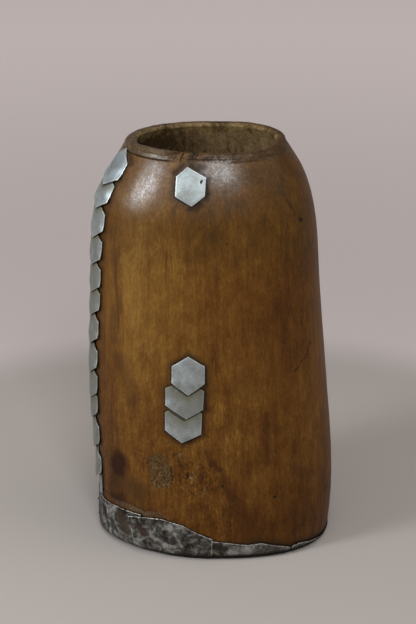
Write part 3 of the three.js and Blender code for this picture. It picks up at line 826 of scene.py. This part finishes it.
upper_trims = ((0, 0), (0, 0), (0.3, 1.2), (0, 0.4), (0, 1.2), (0, 1))
middle_trims = ((0, 0), (0, 1), (0, 1.8), (1, 0.8), (-1.2, -0.6), (0, 0))
lower_trims = ((0, 0), (0, 0), (0, 1.8), (-0.9, 1.3), (0.3, -0.3), (1.2, 0))
scales.append(scale("front_scale_upper", 255.7, 144, 23.6, 13, 29, tilt=TRIO_TILT, trims=upper_trims))
laps = {"tilt": TRIO_TILT, "under": scales[-1], "dullness": 0.75, "trims": middle_trims}
scales.append(scale("front_scale_middle", 253.8, 126.4, 28, 13.4, 30.6, **laps))
laps = {"tilt": TRIO_TILT, "under": scales[-1], "dullness": 0.6, "trims": lower_trims}
scales.append(scale("front_scale_lower", 252.9, 108.3, 25.6, 15.2, 32, turn=2, **laps))


PLATE_CUTS = 11
NO_NEIGHBOUR = 50


def edge_gaps(point, corners):
    """Distances from a point in a flat outline to each of its edges."""
    gaps = []
    for start, end in zip(corners, corners[1:] + corners[:1]):
        along = (end - start).normalized()
        gaps.append(along.x * (point.y - start.y) - along.y * (point.x - start.x))
    return gaps


def hammered_scale(scale, seed):
    """Cuts one flat scale, hammers it, gives it its thickness and bends it onto the wood."""
    cut = random.Random(seed)
    reach = [scale["width"] / 2, scale["side"] / 2, scale["height"] / 2]
    outline = ((0, 2), (-1, 1), (-1, -1), (0, -2), (1, -1), (1, 1))
    corners = []
    for (across, along), trim in zip(outline, scale["trims"]):
        place = Vector((across * reach[0], math.copysign(reach[abs(along)], along), 0)) + Vector((*trim, 0))
        corners.append((place + CUT_ERROR * Vector((cut.uniform(-1, 1), cut.uniform(-1, 1), 0))) * MM)
    bpy.ops.mesh.primitive_circle_add(vertices=6, radius=reach[0] * MM, fill_type="TRIFAN")
    plate = bpy.context.object
    plate.name = "plate_" + scale["name"]
    for corner in plate.data.vertices:
        if corner.co.length > MM:
            corner.co = corners[round(math.degrees(math.atan2(corner.co.y, corner.co.x)) / 60 - 1.5) % 6]
    bpy.ops.object.mode_set(mode="EDIT")
    bpy.ops.mesh.select_all(action="SELECT")
    bpy.ops.mesh.subdivide(number_cuts=PLATE_CUTS)
    bpy.ops.object.mode_set(mode="OBJECT")
    middle_gaps = edge_gaps(Vector(), corners)
    for corner in plate.data.vertices:
        share = min(gap / whole for gap, whole in zip(edge_gaps(corner.co, corners), middle_gaps))
        share = min(max(share, 0), 0.99)
        corner.co *= (1 - share ** 1.5) / (1 - share)
        gap = min(edge_gaps(corner.co, corners)) / MM
        dent = DENT * noise.noise(Vector((corner.co.x, corner.co.y, seed)) / (6 * MM))
        corner.co.z = (dent - scale["drop"] * max(1 - gap / BORDER, 0) ** 2) * MM
    apply_modifier(plate, "SOLIDIFY", thickness=SCALE_THICKNESS * MM, offset=-1)
    rounding = {"width": EDGE_ROUNDING * MM, "segments": 2, "limit_method": "ANGLE"}
    apply_modifier(plate, "BEVEL", angle_limit=math.radians(40), **rounding)
    store(plate, "edge_gap", [min(edge_gaps(corner.co, corners)) / MM for corner in plate.data.vertices])
    for corner in plate.data.vertices:
        across, along, out = corner.co / MM
        pressed = soft_step(-SIDE_BEND, 0, abs(across) - reach[0]) * soft_step(-reach[1] - 3, 0, along)
        lift = CLEARANCE + scale["tilt"] * (1 - pressed) * (reach[2] - along) + SCALE_THICKNESS
        corner.co = scale_point(scale, across, along, lift + out)
    above = scale["under"]
    gaps = [gap_to_scale(above, corner.co) if above else NO_NEIGHBOUR for corner in plate.data.vertices]
    store(plate, "lap_gap", gaps)
    store(plate, "dullness", [scale["dullness"]] * len(gaps))
    smooth_object(plate, sharp_from=50)
    return plate


ALUMINIUM = (0.47, 0.525, 0.55)
DULL_ALUMINIUM = (0.225, 0.235, 0.212)
BRIGHT_EDGE = (0.80, 0.82, 0.82)
# Nicks in the scale under the rim, from one place to another in degrees and mm up
NAIL_NICKS = (((262.2, 283.4), (262.0, 282.2)), ((261.3, 282.6), (261.6, 281.4)))
NICK_RISE = 1.4 * MM
SCALE_GRIME = (0.100, 0.085, 0.042)

scale_metal, place = new_material("scale_metal")
border = place.field("edge_gap")
lap = place.field("lap_gap")
cloud = place.grain(9 * MM, detail=4, roughness=0.6)
spots = place.grain(1.3 * MM, shift=0.6, detail=3)
scratch = place.grain(0.35 * MM, (9, 1, 1), (0, 0.5, 0), detail=2)
cross_scratch = place.grain(0.35 * MM, (1, 1, 12), (0, 0.3, 0), shift=1.1, detail=2)
tone = 0.85 - place.field("dullness") + cloud.sway(1.3) + spots.sway(0.6)
tone = tone + scratch.sway(0.3) + cross_scratch.sway(0.3)
colour = tone.ramp([(0.05, DULL_ALUMINIUM), (0.95, ALUMINIUM)])
worn_edge = border.fade(0.8, 0.35)
colour = (worn_edge * 0.2).paint(colour, BRIGHT_EDGE)
grime = lap.fade(10, 0) * cloud.fade(0.25, 0.5) * 0.9
ring = abs(border - 1.4).fade(0.6, 0.1) * (0.04 + 0.45 * spots.fade(0.5, 0.65))
grime = grime.most(ring * cloud.fade(0.3, 0.6))
grime = grime.most(spots.fade(0.66, 0.74) * 0.5)
colour = grime.paint(colour, SCALE_GRIME)
# Painted shadow, with some grime, just under the lower edge of the scale above, and dark nail nicks
lap_shade_and_nicks = lap.fade(1.2, 0.5) * 0.8
for nick in NAIL_NICKS:
    ends = [skin_point(math.radians(degrees), up * MM, NICK_RISE) for degrees, up in nick]
    lap_shade_and_nicks = lap_shade_and_nicks.most(place.gap_to(*ends).fade(0.75, 0.35))
colour = lap_shade_and_nicks.paint(colour, DIRT_AND_SHADE)
grime = grime.most(lap_shade_and_nicks)
relief = scratch * 0.012 + cross_scratch * 0.012 + spots * 0.02
roughness = 0.5 + cloud.sway(0.3) + grime * 0.2
close_material(place, bump=relief, Base_Color=colour, Metallic=0.85 - grime * 0.6, Roughness=roughness)

for seed, laid_scale in enumerate(scales):
    plate = hammered_scale(laid_scale, seed)
    plate.data.materials.append(scale_metal)
    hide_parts(laid_scale["name"])
    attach(plate, "root")

# How far from a scale the wood gets a finer mesh, and how far its dirt reaches, in mm
FINE_REACH = 3
NEAR_REACH = 4
DIRT_REACH = 9

choose(vessel)
for polygon in vessel.data.polygons:
    height = polygon.center.z / MM
    near = [laid for laid in scales if abs(height - laid["up"]) < laid["height"] / 2 + NEAR_REACH]
    gap = min([abs(gap_to_scale(laid, polygon.center)) for laid in near], default=NEAR_REACH)
    polygon.select = gap < FINE_REACH and polygon.normal.dot(polygon.center) > 0
bpy.ops.object.mode_set(mode="EDIT")
bpy.ops.mesh.select_mode(type="FACE")
bpy.ops.mesh.subdivide(number_cuts=1)
bpy.ops.object.mode_set(mode="OBJECT")
smooth_object(vessel)
gaps = []
for corner in vessel.data.vertices:
    height = corner.co.z / MM
    near = [laid for laid in scales if abs(height - laid["up"]) < laid["height"] / 2 + DIRT_REACH]
    gaps.append(min([gap_to_scale(laid, corner.co) for laid in near], default=DIRT_REACH))
store(vessel, "scale_gap", gaps)


# Shoe
# Six pieces of thin tinned sheet, beaten round the foot and folded under it. They lap at some joints
# and their upper edges were cut by eye, and they are dented, smeared with rust and worn bright.

# Sizes in mm, but the ramp up onto a neighbour is in degrees
SHOE_THICKNESS = 0.5
SHOE_FLAP = 12
SHOE_EDGE_ROUNDING = 0.12
LAP_RAMP = 2.5
# Shares of a sheet's height, from its inner end, that its flap and then the rounded foot take up
FLAP_SHARE = 0.14
ROUND_SHARE = 0.5
END_DULLNESS = 0.1
TACK_DIMPLE = 0.2
TACK_DIMPLE_REACH = 2.2
SHEET_ROWS = 36
SHEET_COLUMNS_PER_DEGREE = 1.35
# Upper edges as stops, in degrees round the vessel and mm up, the degrees that lap a neighbour, and
# how many degrees further on a sheet starts at its inner end
SHEETS = (
    {"name": "left", "edge": ((190, 31), (196, 29), (212, 31), (228, 31.2))},
    {
        "name": "front", "lap_at_start": 8, "lap_at_end": 4, "slant": 6.9,
        "edge": ((220, 27.5), (227, 29.4), (240, 31.2), (252, 28), (262, 21.6), (270, 18)),
    },
    {"name": "front_right", "edge": ((266, 16.4), (280, 14), (291, 12), (298, 12.8), (314, 6))},
    {"name": "right", "edge": ((315, 6), (319, 7.2), (325, 5.4), (338, 3.4), (360, 3), (374, 5))},
    {"name": "back", "lap_at_end": 4, "edge": ((375, 5.2), (390, 9), (420, 15), (454, 20))},
    {"name": "back_left", "edge": ((450, 18.4), (490, 25), (520, 29), (544, 27.5))},
)
# Degrees round the vessel and mm up
TACKS = (
    (193, 12), (224, 20), (234.3, 22.2), (237.4, 22.6), (246.3, 17.5), (268, 12), (301, 8.6),
    (322, 4.6), (378, 5), (408, 9), (452, 13), (482, 17), (512, 20), (540, 16),
)
# Folds and creases: from one place to another, each in degrees and mm up, then half width and rise in mm
CREASES = (
    (206.2, 29.5, 207.9, 21.5, 0.7, 0.55),
    (207.9, 21.5, 213, 12, 0.8, 0.35),
    (213, 11.5, 227.1, 10.5, 0.9, 0.3),
    (227.1, 10.5, 234.2, 16.3, 0.8, 0.25),
    (234.2, 16.3, 243, 10, 1.8, 0.15),
    (209.5, 26, 218, 24.5, 0.9, -0.3),
    (214, 22, 217.5, 15, 2.6, -0.35),
    (226.5, 21.5, 229.5, 15, 2.6, -0.3),
    (293.6, 13, 294.4, 9, 0.5, 0.35),
    (318, 6.5, 316, 3, 0.7, 0.3),
)


def piecewise(stops, at):
    """Value at a place between stops, on straight lines."""
    for (low, low_value), (high, high_value) in zip(stops, stops[1:]):
        if at <= high:
            break
    return blend(low_value, high_value, (at - low) / (high - low))


def lap_rise(sheet, degrees):
    """How far a sheet has climbed onto its neighbour where it laps it: 0 beside it, 1 on it."""
    edge = sheet["edge"]
    start, end = sheet.get("lap_at_start", 0), sheet.get("lap_at_end", 0)
    from_start = (degrees - edge[0][0] - start) / LAP_RAMP if start else 1
    from_end = (edge[-1][0] - end - degrees) / LAP_RAMP if end else 1
    return 1 - min(max(min(from_start, from_end), 0), 1)


def segment_gap(point, start, end):
    """Distance from a point to the straight line between two others."""
    reach = end - start
    share = min(max((point - start).dot(reach) / reach.length_squared, 0), 1)
    return (point - start - share * reach).length


crease_lines = [
    (on_wood(a, up), on_wood(b, end_up), width * MM, rise)
    for a, up, b, end_up, width, rise in CREASES
]
tack_places = [on_wood(*tack) for tack in TACKS]


def beaten(point):
    """Height in mm of the dents and creases that the sheets share, and how sharp a crest it is."""
    rise = 0.28 * lumps(point, 13 * MM) + 0.16 * lumps(point, 5 * MM)
    crest = 0.0
    for start, end, width, height in crease_lines:
        gap = segment_gap(point, start, end) / width
        if gap < 3:
            rise += height * math.exp(-gap * gap)
            crest = max(crest, math.exp(-2 * gap * gap) * 1.6 * height)
    for tack in tack_places:
        rise -= TACK_DIMPLE * math.exp(-(((point - tack).length / (TACK_DIMPLE_REACH * MM)) ** 2))
    return rise, crest


def shoe_point(sheet, degrees, share, out):
    """Point on a sheet, from the inner end of its flap at share 0 to its upper edge at share 1."""
    angle = math.radians(degrees)
    radius = foot_radius(angle)
    edge = piecewise(sheet["edge"], degrees) * MM
    out *= MM
    lowest = math.asin(min(1, (FOOT_HEIGHT + radius) / (radius + out)))
    if share < FLAP_SHARE and lowest > math.pi / 2 - 0.001:
        inset = radius + SHOE_FLAP * MM * (1 - share / FLAP_SHARE)
        return inset_point(angle, inset, FOOT_HEIGHT, FOOT_HEIGHT - out)
    start = foot_turn(angle, edge)
    turn = blend(lowest, start, min(max((share - FLAP_SHARE) / (ROUND_SHARE - FLAP_SHARE), 0), 1))
    height = FOOT_HEIGHT + radius * (1 - math.sin(turn))
    on_wall = max((share - ROUND_SHARE) / (1 - ROUND_SHARE), 0)
    return skin_point(angle, blend(height, edge, on_wall), out)


def beaten_sheet(sheet):
    """Lays a flat grid round the foot, beats it and gives it its thickness."""
    edge = sheet["edge"]
    first, last = edge[0][0], edge[-1][0]
    columns = round((last - first) * SHEET_COLUMNS_PER_DEGREE)
    bpy.ops.mesh.primitive_grid_add(x_subdivisions=columns, y_subdivisions=SHEET_ROWS, size=1)
    piece = bpy.context.object
    piece.name = "beaten_sheet_" + sheet["name"]
    gaps, crests = [], []
    for corner in piece.data.vertices:
        share = corner.co.y + 0.5
        above_flap = soft_step(FLAP_SHARE, ROUND_SHARE, share)
        slanted = first + sheet.get("slant", 0) * (1 - share)
        degrees = blend(slanted, last, corner.co.x + 0.5)
        start, end = first + sheet.get("lap_at_start", 0), last - sheet.get("lap_at_end", 0)
        degrees = blend(min(max(degrees, start), end), degrees, above_flap)
        lap = lap_rise(sheet, degrees) * above_flap * (SHOE_THICKNESS + CLEARANCE)
        lift = CLEARANCE + SHOE_THICKNESS + lap
        flat_place = shoe_point(sheet, degrees, share, 0)
        rise, crest = beaten(flat_place)
        freedom = soft_step(1.2, 4, flat_place.z / MM)
        corner.co = shoe_point(sheet, degrees, share, lift + max(rise, -0.25) * freedom)
        ends = (shoe_point(sheet, slanted, share, lift), shoe_point(sheet, last, share, lift))
        top = shoe_point(sheet, degrees, 1, lift)
        end_gap = min((corner.co - place).length for place in ends) / MM
        gaps.append(min((corner.co - top).length / MM, 0.6 * end_gap + END_DULLNESS))
        crests.append(crest)
    store(piece, "edge_gap", gaps)
    store(piece, "crest", crests)
    bpy.ops.object.mode_set(mode="EDIT")
    bpy.ops.mesh.select_all(action="SELECT")
    bpy.ops.mesh.remove_doubles(threshold=0.05 * MM)
    bpy.ops.object.mode_set(mode="OBJECT")
    apply_modifier(piece, "SOLIDIFY", thickness=SHOE_THICKNESS * MM, offset=-1)
    rounding = {"width": SHOE_EDGE_ROUNDING * MM, "segments": 1, "limit_method": "ANGLE"}
    apply_modifier(piece, "BEVEL", angle_limit=math.radians(50), **rounding)
    smooth_object(piece, sharp_from=45)
    return piece


# Stains on the sheets: from one place to another in degrees and mm up, half width and blur in mm, strength
RUST_PATCHES = (
    (214, 25, 218.5, 15, 2.8, 3.5, 0.95),
    (227, 22, 231, 15.5, 1.6, 3, 0.9),
    (272.5, 11, 276.5, 8, 2.6, 2, 0.6),
    (258, 14, 262, 10, 1.5, 3, 0.45),
    (300, 7, 308, 5, 1.2, 3, 0.5),
)
BLACK_PATCHES = (
    (241, 15.5, 247, 14.5, 2, 2, 0.9),
    (225, 25.5, 228.5, 24, 1.2, 1.5, 0.8),
    (199, 21, 204, 12, 1.6, 2.5, 0.6),
    (317.5, 6, 316, 2, 1.6, 1.2, 0.95),
    (263, 15, 266.5, 13.5, 1.4, 1.6, 0.7),
    (271.5, 11.5, 278, 10.5, 1.4, 2, 0.9),
    (252, 7, 262, 5, 1.2, 2.4, 0.6),
)
WORN_PATCHES = (
    (214, 6, 228, 6, 1.5, 4, 1),
    (233, 25.5, 244, 25.5, 1.5, 4, 0.8),
    (236, 9, 262, 7, 1.5, 4, 0.9),
    (282, 8, 292, 7, 1.5, 4, 0.7),
    (203, 27, 205, 14, 1, 3, 0.9),
    (206, 8, 214, 8, 1.5, 3, 0.8),
)
TIN = (0.105, 0.098, 0.085)
PALE_TIN = (0.42, 0.41, 0.385)
DARK_TIN = (0.020, 0.017, 0.013)
RUST = (0.036, 0.020, 0.010)
BRIGHT_TIN = (0.50, 0.49, 0.46)

tin, place = new_material("tinned_sheet")
edge = place.field("edge_gap")
crest = place.field("crest")
uneven = place.jostled(3 * MM, 3 * MM)
cloud = place.grain(9 * MM, detail=5, roughness=0.65, warp=0.6)
patch = place.grain(3 * MM, shift=0.8, detail=4, roughness=0.65, warp=0.3)
speck = place.grain(0.9 * MM, shift=1.7, detail=3)
# Painted shade along the bottom of the sheets, where they turn under towards the floor
low = (place.along("Z") / MM - 1.5 * place.along("X").fade(-75 * MM, -50 * MM)).fade(4.2, 2)
plain = place.along("X").fade(0, 25 * MM)
tone = 0.36 + 0.12 * plain + (cloud - 0.5) * (2.8 - 1.6 * plain) + (patch - 0.5) * (1.3 - 0.5 * plain)
tone = tone + speck.sway(0.5) + marks(uneven, WORN_PATCHES) * 0.3
colour = tone.ramp([(0.05, DARK_TIN), (0.45, TIN), (1, PALE_TIN)])
rust = marks(uneven, RUST_PATCHES)
rust = rust.most(patch.fade(0.56, 0.7) * cloud.fade(0.55, 0.35) * (0.8 - 0.5 * plain))
rust = rust * (0.3 + 1.3 * speck)
colour = rust.paint(colour, RUST)
# Black patches of soot, and the painted shade along the bottom
soot_and_shade = (marks(uneven, BLACK_PATCHES).most(speck.fade(0.6, 0.7) * 0.7) * 0.92).most(low)
colour = soot_and_shade.paint(colour, DIRT_AND_SHADE)
bright = edge.fade(0.6, 0.15) * (0.1 + 1.1 * patch.fade(0.35, 0.6))
bright = bright.most(crest * (1 - rust * 0.5)) * (1 - low)
colour = (bright * 0.9).paint(colour, BRIGHT_TIN)
relief = cloud * 0.25 + patch * 0.2 + speck * 0.06
dull = rust.most(soot_and_shade)
close_material(
    place,
    bump=relief,
    Base_Color=colour,
    Metallic=0.7 - 0.6 * dull,
    Roughness=0.5 + 0.3 * dull - bright * 0.12,
    Specular_IOR_Level=0.2,
)

for sheet in SHEETS:
    piece = beaten_sheet(sheet)
    piece.data.materials.append(tin)
    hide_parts("shoe_sheet_" + sheet["name"])
    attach(piece, "root")

gaps = []
for corner in vessel.data.vertices:
    degrees = degrees_round(corner.co)
    tops = [0.0]
    for sheet in SHEETS:
        for turned in (degrees, degrees + 360):
            if sheet["edge"][0][0] <= turned <= sheet["edge"][-1][0]:
                tops.append(piecewise(sheet["edge"], turned))
    gaps.append(corner.co.z / MM - max(tops))
store(vessel, "shoe_gap", gaps)


# Tacks
# Fourteen small iron tacks with low domed heads and pointed shanks. They nail the shoe to the
# wood, and each was driven in a little askew.

TACK_SHANK = 0.6 * MM
TACK_LENGTH = 6.5 * MM
TACK_HEAD = 1.3 * MM
TACK_HEAD_RISE = 0.7 * MM
TACK_LEAN = 0.12

bpy.ops.mesh.primitive_uv_sphere_add(segments=18, ring_count=12, radius=TACK_HEAD)
first_tack = bpy.context.object
first_tack.scale.z = TACK_HEAD_RISE / TACK_HEAD
bpy.ops.object.transform_apply(location=False, rotation=False, scale=True)
bpy.ops.object.mode_set(mode="EDIT")
bpy.ops.mesh.select_all(action="SELECT")
bpy.ops.mesh.bisect(plane_co=(0, 0, 0), plane_no=(0, 0, 1), clear_inner=True, use_fill=True)
bpy.ops.mesh.select_mode(type="FACE")
bpy.ops.mesh.select_all(action="DESELECT")
underside = bmesh.from_edit_mesh(first_tack.data)
for face in underside.faces:
    face.select_set(face.normal.z < -0.99)
bmesh.update_edit_mesh(first_tack.data)
bpy.ops.mesh.inset(thickness=TACK_HEAD - TACK_SHANK)
bpy.ops.mesh.extrude_region_move(TRANSFORM_OT_translate={"value": (0, 0, 2 * TACK_SHANK - TACK_LENGTH)})
bpy.ops.mesh.extrude_region_move(TRANSFORM_OT_translate={"value": (0, 0, -2 * TACK_SHANK)})
bpy.ops.transform.resize(value=(0.1, 0.1, 1))
bpy.ops.object.mode_set(mode="OBJECT")
smooth_object(first_tack, sharp_from=40)

IRON = (0.075, 0.068, 0.060)
IRON_RUST = (0.040, 0.022, 0.013)

iron, place = new_material("iron_tack")
rust = place.grain(0.8 * MM, detail=3).fade(0.4, 0.6)
colour = rust.paint(IRON, IRON_RUST)
metallic = 0.8 - 0.6 * rust
roughness = 0.5 + 0.2 * rust
close_material(place, bump=rust * 0.04, Base_Color=colour, Metallic=metallic, Roughness=roughness)

hammer = random.Random(5)
for number, (degrees, up) in enumerate(TACKS, start=1):
    lifts = [CLEARANCE]
    for sheet in SHEETS:
        if sheet["edge"][0][0] < degrees < sheet["edge"][-1][0]:
            lifts.append(CLEARANCE + lap_rise(sheet, degrees) * (SHOE_THICKNESS + CLEARANCE))
    seat = skin_point(math.radians(degrees), up * MM, (max(lifts) + SHOE_THICKNESS) * MM)
    outward = (seat - on_wood(degrees, up)).normalized()
    lean = Vector((hammer.uniform(-1, 1), hammer.uniform(-1, 1), hammer.uniform(-1, 1))) * TACK_LEAN
    turn = (outward + lean).to_track_quat("Z", "Y").to_matrix()
    size = hammer.uniform(0.85, 1)
    tack = first_tack.copy()
    tack.data = first_tack.data.copy()
    tack.name = f"iron_tack_{number:02}"
    bpy.context.collection.objects.link(tack)
    for corner in tack.data.vertices:
        flat = Vector((corner.co.x * size, corner.co.y * size, corner.co.z * hammer.uniform(0.9, 1)))
        corner.co = seat + turn @ flat
    tack.data.materials.append(iron)
    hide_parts(f"shoe_tack_{number:02}")
    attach(tack, "root")
bpy.data.objects.remove(first_tack)
